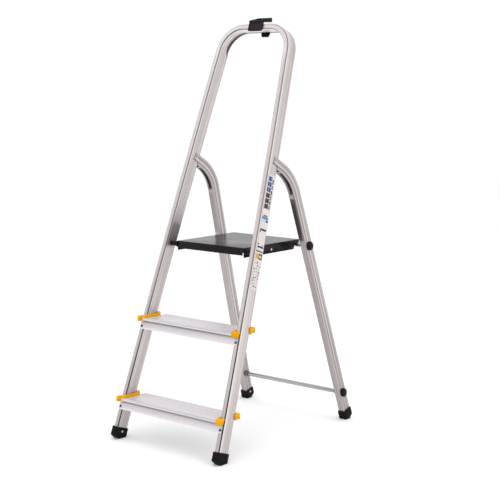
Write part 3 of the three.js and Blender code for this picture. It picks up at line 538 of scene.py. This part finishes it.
def front_place(point, direction, depth, side):
    """A point beside the front frame's path. Side counts towards the inside of the frame."""
    x = point[0] - direction[1] * side
    v = point[1] + direction[0] * side
    return front(x, v, depth)


# The step in a stile's front corner, with painted shade in it.
STEP = [
    (0.0, 3.1, 0.0), (0.0, 2.9, 0.5), (0.9, 2.8, 1.0), (1.0, 1.0, 1.0), (2.8, 0.9, 1.0), (2.9, 0.0, 0.5),
]
# A stile's wide face from the front: a painted highlight on the ridge behind the step, faint painted shade
# further back and more at the rear corner.
STILE_WIDE = [
    (3.2, 0.0, -0.7), (5.0, 0.0, -0.7), (5.8, 0.0, 0.0), (9.0, 0.0, 0.0), (12.0, 0.0, 0.03),
    (14.5, 0.0, 0.03), (20.0, 0.0, 0.0), (27.0, 0.0, 0.03),
    *[(29.0 + 1.2 * k, 0.0, 0.03) for k in range(11)], (41.8, 0.0, 0.12),
]
STILE_RIBS = (-3.4, -1.1, 1.1, 3.4)


def front_frame():
    """Both stiles and the handrail, as one bent tube with its dented bends."""
    stations = front_stations()
    total = stations[-1][2]
    middle = total / 2
    bend_from = next(s for p, d, s in stations if d[0] < -0.08 and p[1] > BEND_START - 1)
    bend_to = bend_from + (RAIL_BEND - STILE_W / 2) * (math.pi / 2 - TURN)

    def on_bend(s, start, end, soft):
        """1 on both bends and 0 away from them. start and end move the two limits."""
        s = min(s, total - s)
        entering = smoothstep(s, bend_from + start, bend_from + start + soft)
        return entering * (1 - smoothstep(s, bend_to + end - soft, bend_to + end))

    def dent(s, d, w):
        return 0.0, -STILE_DENT * on_bend(s, -14, 10, 16) * smoothstep(d, 30, 35) * (w > STILE_W / 2 - 1.6)

    def shading(s, d, w, marked):
        """Painted shade in the step of the front corners, darkest low down and on the side turned to the
        right. Also painted shade in the pockets of the bends, a painted dark reflection of the platform on
        the inner faces, painted highlights, and a darkening towards the feet.
        """
        along = min(s, total - s)
        if marked > 0.4:
            on_right = s < middle
            strong = 1.0 - 0.55 * smoothstep(along, 120, 760)
            if not on_right:
                strong = max(strong, 0.75 * on_bend(s, -30, 40, 70))
            weak = 0.32 if on_right else 0.1
            facing = (w < 0) if on_right else (w > 0)
            return marked * (strong if facing else weak)
        # Painted shade in the dented pocket on the inner face of each bend, narrowing towards its ends.
        edge = 40.0 - 12.0 * on_bend(s, -16, 20, 34)
        crease = 0.95 * on_bend(s, -22, 10, 9) * smoothstep(d, edge - 2, edge) * (w > STILE_W / 2 - 1.6)
        if crease > 0.05:
            return crease
        # low darkens towards the feet; pale is a painted highlight (painted shade where negative) on the
        # upper front face and bends, the outer faces behind the step, and the inner faces along the top rail.
        low, pale = 0.1 * (1 - smoothstep(along, 60, 420)), 0.0
        if d < 3.5 and abs(w) < STILE_W / 2 - 2:  # the front face
            pale = 0.15 * smoothstep(along, 620, 1150) + 0.25 * on_bend(s, -60, 80, 60)
        elif w < -STILE_W / 2 + 1.2 and d > 5:  # the outer faces
            pale = 0.35 * (1 - smoothstep(d, 9, 14)) - 0.12 * on_bend(s, -60, 30, 60) * smoothstep(d, 22, 34)
        elif w > STILE_W / 2 - 1.2 and d > 5:  # the inner faces
            # Painted dark reflection of the platform.
            height = along + TUBE_START
            low += 0.34 * smoothstep(height, *REFLECTION_IN) * (1 - smoothstep(height, *REFLECTION_OUT))
            pale = 0.35 * smoothstep(s, middle - 240, middle - 200)
            pale *= 1 - smoothstep(s, middle + 60, middle + 110)
        return marked + low - pale

    section = tube_section(STILE_D, STILE_W, STILE_RIBS, STEP, STILE_WIDE)
    tube("front_frame_tube", stations, section, STILE_D, STILE_W, front_place, "frame",
         ("front_frame",), dent, shading)


# ---- Rear legs ----
def leg_layout():
    """The leg's two directions and how far its straight part goes, so that its tip meets the pivot."""
    start, end = math.pi - REAR_LEAN, math.pi - FORK_RISE
    direction = (math.cos(start), math.sin(start))
    tip = (math.cos(end), math.sin(end))
    toe = (math.sin(REAR_LEAN) * LEG_D / 2, math.cos(REAR_LEAN) * LEG_D / 2)
    goal = (PIVOT[0] - REAR_TOE_Y, PIVOT[1] / math.cos(REAR_TAPER))
    bend = (LEG_BEND * (math.sin(end) - math.sin(start)), LEG_BEND * (math.cos(start) - math.cos(end)))
    left = (goal[0] - toe[0] - bend[0], goal[1] - toe[1] - bend[1])
    det = direction[0] * tip[1] - direction[1] * tip[0]
    straight = (left[0] * tip[1] - left[1] * tip[0]) / det
    return start, end, direction, tip, toe, straight, goal


START, END, LEG_DIR, TIP_DIR, TOE, STRAIGHT, GOAL = leg_layout()


def leg_point(sign, x, y, z):
    """A point of a rear leg's own plane: backwards, up the leg, towards +X."""
    up = Vector((-sign * math.sin(REAR_TAPER), 0, math.cos(REAR_TAPER)))
    across = Vector((math.cos(REAR_TAPER), 0, sign * math.sin(REAR_TAPER)))
    origin = Vector((sign * (REAR_HALF_FOOT - LEG_W / 2), REAR_TOE_Y, 0))
    return origin + Vector((0, x, 0)) + up * y + across * z


def stile_block(sign, v, length, grow, near, far):
    """A block that follows one stile round its height v."""
    verts, faces = boxed((-STILE_W / 2 - grow, -length / 2, near), (STILE_W / 2 + grow, length / 2, far))
    angle = sign * math.atan(inward_slope(v))
    return on_front(verts, sign * (half_width(v) - STILE_W / 2), v, angle), faces


def turned_about_pivot(verts, angle):
    centre = Vector((0, *PIVOT))
    turn = Matrix.Rotation(angle, 3, "X")
    return [turn @ (v - centre) + centre for v in verts]


LEG_RIBS = (-6.6, -3.3, 0.0, 3.3, 6.6)


def leg_wide(first, second):
    """The legs' wide face from the front, with painted shade in two grooves as dark as given, and a painted
    highlight between them.
    """
    return [
        (2.2, 0.0, 0.0), (8.2, 0.0, 0.05), (8.8, 0.0, 0.3), (9.2, 0.7, first), (11.0, 0.7, first),
        (11.4, 0.0, 0.3), (12.2, 0.0, -0.15), (17.0, 0.0, -0.15), (18.5, 0.0, 0.05), (21.4, 0.0, 0.05),
        (21.8, 0.0, 0.25), (22.3, 0.6, second), (24.0, 0.6, second), (24.5, 0.0, 0.25), (25.2, 0.0, 0.0),
        (30.0, 0.0, 0.0),
    ]


def leg_stations():
    """Stations up a rear leg: its straight part, its bend and its tip, closer where the shade changes."""
    bend_from = [TOE[i] + LEG_DIR[i] * STRAIGHT for i in (0, 1)]
    centre = (bend_from[0] - LEG_BEND * math.sin(START), bend_from[1] + LEG_BEND * math.cos(START))
    marks = [LEG_START + (STRAIGHT - LEG_START) * k / 18 for k in range(18)]
    marks = sorted(marks + [STRAIGHT - back for back in (2, 6, 10, 14, 60, 100, 140, 150, 160, 168)])
    straight = [([TOE[i] + LEG_DIR[i] * mark for i in (0, 1)], LEG_DIR) for mark in marks]
    bend = arc(centre, LEG_BEND, START - math.pi / 2, END - math.pi / 2, 26)
    last = bend[-1][0]
    tip = [GOAL[i] + TIP_DIR[i] * FORK_TIP for i in (0, 1)]
    end = [([last[i] + (tip[i] - last[i]) * k / 5 for i in (0, 1)], TIP_DIR) for k in range(1, 6)]
    return measured(straight + bend + end)


def rear_leg(side, sign):
    """One rear leg, with its dented bend and its fork cut out round the stile over the whole fold."""
    s0 = STRAIGHT - LEG_START
    s1 = s0 + LEG_BEND * (END - START)
    strength = 1.0 if sign > 0 else 0.5  # of the painted reflections

    def dent(s, d, w):
        along = smoothstep(s, s0 - 22, s0 + 14) * (1 - smoothstep(s, s1 - 10, s1 + 10))
        across = 1 - smoothstep(abs(w), 3.0, LEG_W / 2 - 2.0)
        return LEG_DENT * along * across * (d < 2), 0.0

    def shading(s, d, w, marked):
        """On the front, over a base darkened as painted shade, painted shade in the crease of the bend, a
        painted dark reflection under it and a painted dark strip along each edge. On the sides painted shade
        in grooves that fade lower down, over a base that is darker overall and more so towards the feet."""
        if d > 2:
            return marked * (0.4 + 0.6 * smoothstep(s, 60, 300)) + 0.12 + 0.2 * (1 - smoothstep(s, 80, 460))
        crease = smoothstep(s, s0 - 6, s0 + 3) * (1 - smoothstep(s, s1 - 16, s1 + 6))
        crease *= smoothstep(w, -8.5, -1.0) * (1 - smoothstep(w, 6.0, 8.0))
        below = smoothstep(s, s0 - 168, s0 - 148) * (1 - smoothstep(s, s0 - 14, s0 - 10))
        below *= (0.5 + 0.38 * smoothstep(w, -9.0, 0.0)) * strength
        edge = 0.48 * strength * smoothstep(w, LEG_W / 2 - 4.4, LEG_W / 2 - 3.2)
        edge += 0.3 * smoothstep(-w, LEG_W / 2 - 2, LEG_W / 2 - 1)
        return max(0.2 + 0.12 * strength, 0.95 * crease, below, edge, marked)

    def place(point, direction, depth, w):
        off = depth - LEG_D / 2
        return leg_point(sign, point[0] + direction[1] * off, point[1] - direction[0] * off, -w)

    wide = leg_wide(0.72, 0.42) if sign > 0 else leg_wide(0.4, 0.6)
    # The front corners get painted shade.
    section = tube_section(LEG_D, LEG_W, LEG_RIBS, [(a, b, 0.3) for a, b in CORNER], wide)
    leg = tube(f"rear_leg_tube_{side}", leg_stations(), section, LEG_D, LEG_W, place, "rear_frame",
               (f"rear_leg_{side}",), dent, shading)
    cuts = []
    for share in (0, 0.25, 0.5, 0.75, 1):
        verts, faces = stile_block(sign, PIVOT_V, 130, FORK_CLEARANCE, -12, STILE_D + 1)
        cuts.append(cutter(turned_about_pivot(verts, share * FOLD), faces))
    verts, faces = boxed((-14.5, LEG_D / 2 - FORK_STEP, -40), (45, LEG_D / 2 + 20, 40))
    placed = []
    for t, off, across in verts:
        x = GOAL[0] + TIP_DIR[0] * t - TIP_DIR[1] * off
        y = GOAL[1] + TIP_DIR[1] * t + TIP_DIR[0] * off
        placed.append(leg_point(sign, x, y, across))
    cuts.append(cutter(placed, faces))
    carve(leg, cuts)
    sharpen(leg)


# ---- Treads ----
def trim_block(sign, v, edge, near):
    """Everything outboard of an edge and behind a depth, following one stile's slope at v."""
    verts, faces = boxed((-30, -130, near), (30, 130, near + 160))
    return on_front(verts, sign * (edge + 30), v, sign * math.atan(inward_slope(v))), faces


def tread_outline():
    """(y, z, darkness) round the tread's section from the nosing's lower edge, over the top last. The
    darkness is painted shade under the nosing, along the skirt, underneath and in the grooves.
    """
    run = COS / SIN
    nose, rear = -TREAD_NOSE, TREAD_DEPTH - TREAD_NOSE
    plate, drop = 2.0, 9.0
    foot = -TREAD_SKIRT

    def back(z):
        return z * run - 0.4

    def face(z):
        return back(z) - plate / SIN

    # Painted shade on the nosing's underside.
    points = [(nose, -drop + 0.5, 0.4), (nose + 0.5, -drop, 0.75), (face(-drop) - 1.0, -drop, 0.8)]
    fading = ((0, 0.75), (3.5, 0.6), (6, 0.42), (10, 0.26), (16, 0.15))  # the nosing's shadow
    points += [(face(-drop - down), -drop - down, dark) for down, dark in fading]
    line = ((6, 0.08), (5.6, 0.2), (5.0, 0.2), (4.6, 0.04))  # a thin dark line above the skirt's edge
    points += [(face(foot + up), foot + up, dark) for up, dark in line]
    # Painted shade along the skirt's lower edge, behind the skirt and under the tread.
    points += [(face(foot + 0.6), foot + 0.6, 0.0), (face(foot) + 0.4, foot, 0.3)]
    points += [(back(foot) - 0.3, foot, 0.3), (back(-plate), -plate, 0.4)]
    points += [(rear - plate, -plate, 0.4), (rear - plate, -TREAD_LIP, 0.2), (rear, -TREAD_LIP, 0.2)]
    points += [(rear, -0.8, 0.0), (rear - 0.3, -0.3, 0.0), (rear - 0.8, 0.0, 0.0)]
    y = rear - 8
    # Painted shade in the grooves of the top and of the nosing.
    while y > 6:  # grooves in the top
        points += [(y, 0.0, 0.0), (y - 0.4, -0.6, 0.34), (y - 1.6, -0.6, 0.34), (y - 2.0, 0.0, 0.0)]
        y -= 6.5
    points += [(nose + 8.2, 0.0, 0.0), (nose + 7.6, -0.6, 0.3), (nose + 5.6, -0.6, 0.3)]
    points += [(nose + 5.0, 0.0, 0.0), (nose + 1.2, 0.0, 0.0), (nose + 0.3, -0.4, 0.05)]
    points += [(nose, -1.2, 0.1), (nose + 0.5, -1.7, 0.3), (nose + 0.5, -3.3, 0.3)]
    points += [(nose, -3.8, 0.1), (nose, -6.6, 0.1)]
    return points


def tread(level, z):
    """A bent tread whose top is at height z, trimmed round the stiles and inside the legs."""
    y = front_y(z)
    v = z / SIN
    end = half_width(v) - TREAD_END
    outline = tread_outline()
    rings, uvs, shade = [], [], []
    around = lengths(outline)
    parts = 24
    for k in range(parts + 1):
        x = -end + 2 * end * k / parts
        rings.append([Vector((x, y + p, z + q)) for p, q, dark in outline])
        uvs += [(a * MM, x * MM) for a in around]
        shade += [dark for p, q, dark in outline]
    verts, faces = bridge(rings)
    shell = make(f"{level}_tread_shell", verts, faces, "tread_aluminium", "frame", (f"{level}_tread",),
                 uvs=uvs, shade=shade)
    rear_v = (y + TREAD_DEPTH - TREAD_NOSE - FRONT_TOE_Y) * COS + z * SIN
    rivet_v = (z - RIVET_DROP) / SIN
    leg_inside = REAR_HALF_FOOT - LEG_W - math.tan(REAR_TAPER) * (z + 25)
    cuts = []
    for side, sign in SIDES:
        cuts.append(cutter(*trim_block(sign, rear_v, half_width(rear_v) - STILE_W - 0.5, -0.3)))
        cuts.append(cutter(*trim_block(sign, rear_v, leg_inside - 1.6, STILE_D + 2)))
        left, right = sorted((sign * (half_width(v) - NOSE_END), sign * (half_width(v) + 9)))
        cuts.append(cutter(*boxed((left, y - 40, z - 14), (right, y - 4.4, z + 5))))
        x = sign * (half_width(rivet_v) - STILE_W / 2)
        turn = [math.tau * k / 14 for k in range(14)]
        hole = [(RIVET_HOLE * math.cos(t), RIVET_HOLE * math.sin(t)) for t in turn]
        ends = [[front(x + a, rivet_v + b, depth) for a, b in hole] for depth in (-9, 6)]
        cuts.append(cutter(*bridge(ends)))
    carve(shell, cuts)
    sharpen(shell)


front_frame()
for side, sign in SIDES:
    rear_leg(side, sign)
for level, z in TREADS.items():
    tread(level, z)

# ---- CAD nodes whose shape stays, and copies with rounded edges ----
SLOT_OF = {s["node"]: s["material_slot"] for s in frame["record"]["subparts"]}
ROUNDED = {  # a bevel's width in millimetres and its segments
    "lower_tread_cap": (1.3, 3), "upper_tread_cap": (1.3, 3), "front_boot": (1.0, 3), "rear_boot": (1.0, 3),
    "platform_hinge_bush": (0.6, 2), "platform_rod_saddle": (0.6, 2), "platform_stiffener": (0.5, 2),
    "tool_clip_catch": (0.8, 2), "tool_clip": (0.8, 2), "platform_deck": (1.6, 4), "lower_rod_cap": (0.8, 2),
    "upper_rod_cap": (0.8, 2),
}
# The darkness is partly the collar's own darker tone and partly painted shade in its step and against the
# leg.
COLLAR = (  # distance in from the leg, growth of the radius, darkness
    (26, 0.0, 0.0), (20, -0.8, 0.0), (8.5, -0.8, 0.5), (8, 2.6, 0.7), (7, 3.2, 0.45), (3, 3.2, 0.45),
    (1.6, 1.6, 0.8), (1.2, 0.0, 0.6),
)
ROD_CHAMFER = 0.6


def box_of(points):
    return [[limit(p[i] for p in points) for i in range(3)] for limit in (min, max)]


def lower_rod():
    """Round rod through both rear legs, with a swaged collar against each leg's inner face."""
    low, high = box_of([v.co / MM for v in NODES["lower_rear_rod"].data.vertices])
    y, z, radius = (low[1] + high[1]) / 2, (low[2] + high[2]) / 2, (high[2] - low[2]) / 2
    inner = REAR_HALF_FOOT - LEG_W / math.cos(REAR_TAPER) - z * math.tan(REAR_TAPER)
    half = [(0, radius, 0.0)] + [(inner - back, radius + growth, dark) for back, growth, dark in COLLAR]
    half += [(high[0] - ROD_CHAMFER, radius, 0.0), (high[0], radius - ROD_CHAMFER, 0.0)]
    line = [(-x, r, dark) for x, r, dark in half[:0:-1]] + half
    turn = [2 * math.pi * k / 32 for k in range(32)]
    rings = [[Vector((x, y + r * math.cos(a), z + r * math.sin(a))) for a in turn] for x, r, dark in line]
    shade = [dark for x, r, dark in line for a in turn]
    verts, faces = bridge(rings)
    rod = make("lower_rod_turned", verts, faces, SLOT_OF["lower_rear_rod"], "rear_frame", ("lower_rear_rod",),
               SHARP_ROUNDED, shade=shade)
    rod.data.materials[0] = MAT["rod_steel"]


lower_rod()


# ---- Printed film on the right stile: plain blocks, bars and specks, with no lettering ----
NAVY, BLUE, PALE_BLUE, AMBER = (44, 60, 92), (96, 126, 168), (176, 194, 218), (198, 162, 70)
INK, BROWN, SLATE, STEEL, GREY = (26, 24, 25), (62, 58, 56), (84, 82, 86), (84, 88, 100), (118, 115, 119)
PINK, FILM, SPECK = (220, 203, 206), (208, 202, 201), (112, 106, 104)
ROWS = (  # height from, colour of a row's outer blocks, and of its middle one
    (787, INK, SLATE), (804, INK, SLATE), (821, INK, SLATE), (839, NAVY, BLUE), (856, NAVY, BLUE),
    (873, BLUE, NAVY),
)
BLOCKS = (  # height from, to, depth from, to, colour
    *[(v, v + 14.5, near, far, colour) for v, outer, middle in ROWS
      for near, far, colour in ((9.5, 15.0, outer), (15.0, 21.0, middle), (21.0, 27.5, outer))],
    (787, 799, 30, 37, GREY), (802, 813, 30, 37, SLATE), (816, 830, 30, 37, GREY),
    (833, 846, 30, 37, SLATE), (850, 862, 30, 37, GREY), (866, 881, 30, 36, SLATE),
    (769, 784, 7.3, 39.6, PINK), (763, 767, 14, 33, STEEL), (754, 762, 8.5, 37, BLUE),
    (746, 753, 8.5, 30, PALE_BLUE), (746, 753, 30, 39, NAVY), (718, 724, 9, 38, BROWN),
    (712, 718, 9, 13, BROWN), (665, 670, 9, 38, INK), (652, 656, 8, 38, SLATE), (674, 678, 9, 15, INK),
    (672, 675, 30, 36, SLATE), (630, 647, 9, 22, AMBER), (643, 647, 24, 38, INK), (630, 634, 24, 38, INK),
    (631, 647, 35, 39, INK), (631, 647, 23, 26, INK),
)
SPECKS = [  # height, depth, size
    (545 + 9 * row + 2 * (column % 2), 12 + 10 * column + 3 * (row % 2), 3 + (5 * row + 3 * column) % 4)
    for row in range(9) for column in range(3) if (3 * row + 2 * column) % 7]
LABEL_DEPTH = (7.0, 40.0)
FILM_THICK, PRINT_THICK = 0.4, 0.5
LABEL_GAP = 0.3  # between the stile's face and the film's back


def label():
    """Flat film, printed with blocks of plain colour laid on it as thin layers."""
    def sheet(name, v0, v1, d0, d1, thick, levels, parts=1):
        rings = []
        for v in (v0 + (v1 - v0) * k / parts for k in range(parts + 1)):
            x = half_width(v) + LABEL_GAP
            rings.append([front(x, v, d0), front(x, v, d1), front(x + thick, v, d1), front(x + thick, v, d0)])
        verts, faces = bridge(rings)
        colour = srgb(*levels)
        n = Nodes(name)
        drift = n.noise(n.coords(), 120.0, 3.0)
        base = n.ramp(drift, [(0.4, colour), (0.6, scaled(colour, 1.06))])
        MAT[name] = n.set(Base_Color=base, Roughness=0.45, Specular_IOR_Level=0.12)
        obj = make(name, verts, faces, "aluminium", "frame")
        obj.data.materials[0] = MAT[name]
        return obj

    film = sheet("label_film", LABEL_FROM, LABEL_TO, *LABEL_DEPTH, FILM_THICK, FILM, 12)
    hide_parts("label_strip")
    for i, (v0, v1, d0, d1, colour) in enumerate(BLOCKS):
        sheet(f"label_block_{i + 1}", v0, v1, d0, d1, PRINT_THICK, colour)
    for i, (v, d, size) in enumerate(SPECKS):
        half = size / 2
        sheet(f"label_speck_{i + 1}", v - half, v + half, d - half, d + half, PRINT_THICK, SPECK)


label()


# ---- Touches on the copies of CAD nodes ----
def darken_recess(obj, node):
    """Paints shade on the floor of the pocket between a bumper's rim and the stile, and on the bumper's
    underside.
    """
    z = TREADS["lower" if node.startswith("lower") else "upper"]
    y = front_y(z)
    shade = []
    for vertex in obj.data.vertices:
        p = vertex.co / MM
        inside = y + 8 < p.y < y + STILE_D / SIN + 5 and z + 2.5 < p.z < z + 5
        shade.append(0.7 if inside else 0.35 if p.z < z - 6 else 0.0)
    store_shade(obj.data, shade)


def swell_cap(obj):
    """Gives a rod cap its fuller, slightly domed head outside the leg."""
    points = [v.co / MM for v in obj.data.vertices]
    low, high = box_of(points)
    y, z = (low[1] + high[1]) / 2, (low[2] + high[2]) / 2
    along = [abs(p.x) + (p.z - z) * math.tan(REAR_TAPER) for p in points]
    base = max(along) - CAP_HEAD
    for vertex, p, out in zip(obj.data.vertices, points, along):
        spread = CAP_SPREAD if out > base - 0.3 else 1.0
        push = math.copysign(CAP_SWELL * smoothstep(out, base, base + CAP_HEAD), p.x)
        vertex.co = Vector((p.x + push, y + (p.y - y) * spread, z + (p.z - z) * spread)) * MM


def darken_rim(obj):
    """Paints shade on the border round the clip's front panel, and darkens the top of its tray."""
    shade = []
    for vertex in obj.data.vertices:
        p = vertex.co / MM
        depth = (p.y - FRONT_TOE_Y) * SIN - p.z * COS
        shade.append(0.85 if depth < -4.0 else 0.55 if p.z > RAIL_HEIGHT + 6 else 0.0)
    store_shade(obj.data, shade)


MODELLED = {"front_frame", "rear_leg_left", "rear_leg_right", "lower_tread", "upper_tread", "label_strip",
            "lower_rear_rod"}
for node in sorted(NODES):
    if node in MODELLED:
        continue
    stem = node.replace("_left", "").replace("_right", "")
    if stem in ROUNDED:
        shell = from_cad(node, SLOT_OF[node], *ROUNDED[stem])
        if "tread_cap" in node:
            darken_recess(shell, node)
        elif "rod_cap" in node:
            swell_cap(shell)
        elif node == "tool_clip":
            shell.data.materials[0] = MAT["clip_plastic"]
            darken_rim(shell)
    else:
        NODES[node].data.materials.clear()
        NODES[node].data.materials.append(MAT[SLOT_OF[node]])


# ---- Floor, light and camera ----
FLOOR_HALF, FLOOR_THICK = 9000, 20
LAMPS = (  # name, place in metres, size in metres, watts
    ("key", (1.0, -4.0, 3.2), 2.6, 26), ("side", (3.4, -0.6, 2.2), 2.2, 14), ("top", (0, 0.4, 4.2), 2.5, 22),
)
AIM = Vector((0, 0, 0.6))  # the point that the lamps face, in metres
CAMERA_AT, CAMERA_TOWARDS = Vector((2475.7, -2923.5, 1129.2)), Vector((-0.6299, 0.7639, -0.1406))
FOCAL_LENGTH, SENSOR = 87.2, 36.0


def looking_along(direction):
    return direction.to_track_quat("-Z", "Y").to_euler()


def add_floor():
    verts, faces = boxed((-FLOOR_HALF, -FLOOR_HALF, -FLOOR_THICK), (FLOOR_HALF, FLOOR_HALF, 0))
    mesh = bpy.data.meshes.new("floor")
    mesh.from_pydata([v * MM for v in verts], [], faces)
    floor = bpy.data.objects.new("floor", mesh)
    bpy.context.scene.collection.objects.link(floor)
    n = Nodes("pale_floor")
    mesh.materials.append(n.set(Base_Color=(0.985, 0.985, 0.985), Roughness=0.85, Specular_IOR_Level=0.1))


def add_lights():
    world = bpy.data.worlds.new("studio")
    bpy.context.scene.world = world
    world.use_nodes = True
    world.node_tree.nodes["Background"].inputs["Color"].default_value = (1, 1, 1, 1)
    world.node_tree.nodes["Background"].inputs["Strength"].default_value = 1.02
    for name, place, size, power in LAMPS:
        light = bpy.data.lights.new(name, "AREA")
        light.size, light.energy = size, power
        lamp = bpy.data.objects.new(name, light)
        lamp.location = place
        lamp.rotation_euler = looking_along(AIM - Vector(place))
        bpy.context.scene.collection.objects.link(lamp)


def add_camera():
    data = bpy.data.cameras.new("camera")
    data.sensor_width, data.lens, data.clip_end = SENSOR, FOCAL_LENGTH, 50
    camera = bpy.data.objects.new("camera", data)
    camera.location = CAMERA_AT * MM
    camera.rotation_euler = looking_along(CAMERA_TOWARDS)
    bpy.context.scene.collection.objects.link(camera)
    bpy.context.scene.camera = camera
    bpy.context.scene.view_settings.view_transform = "Standard"


add_floor()
add_lights()
add_camera()
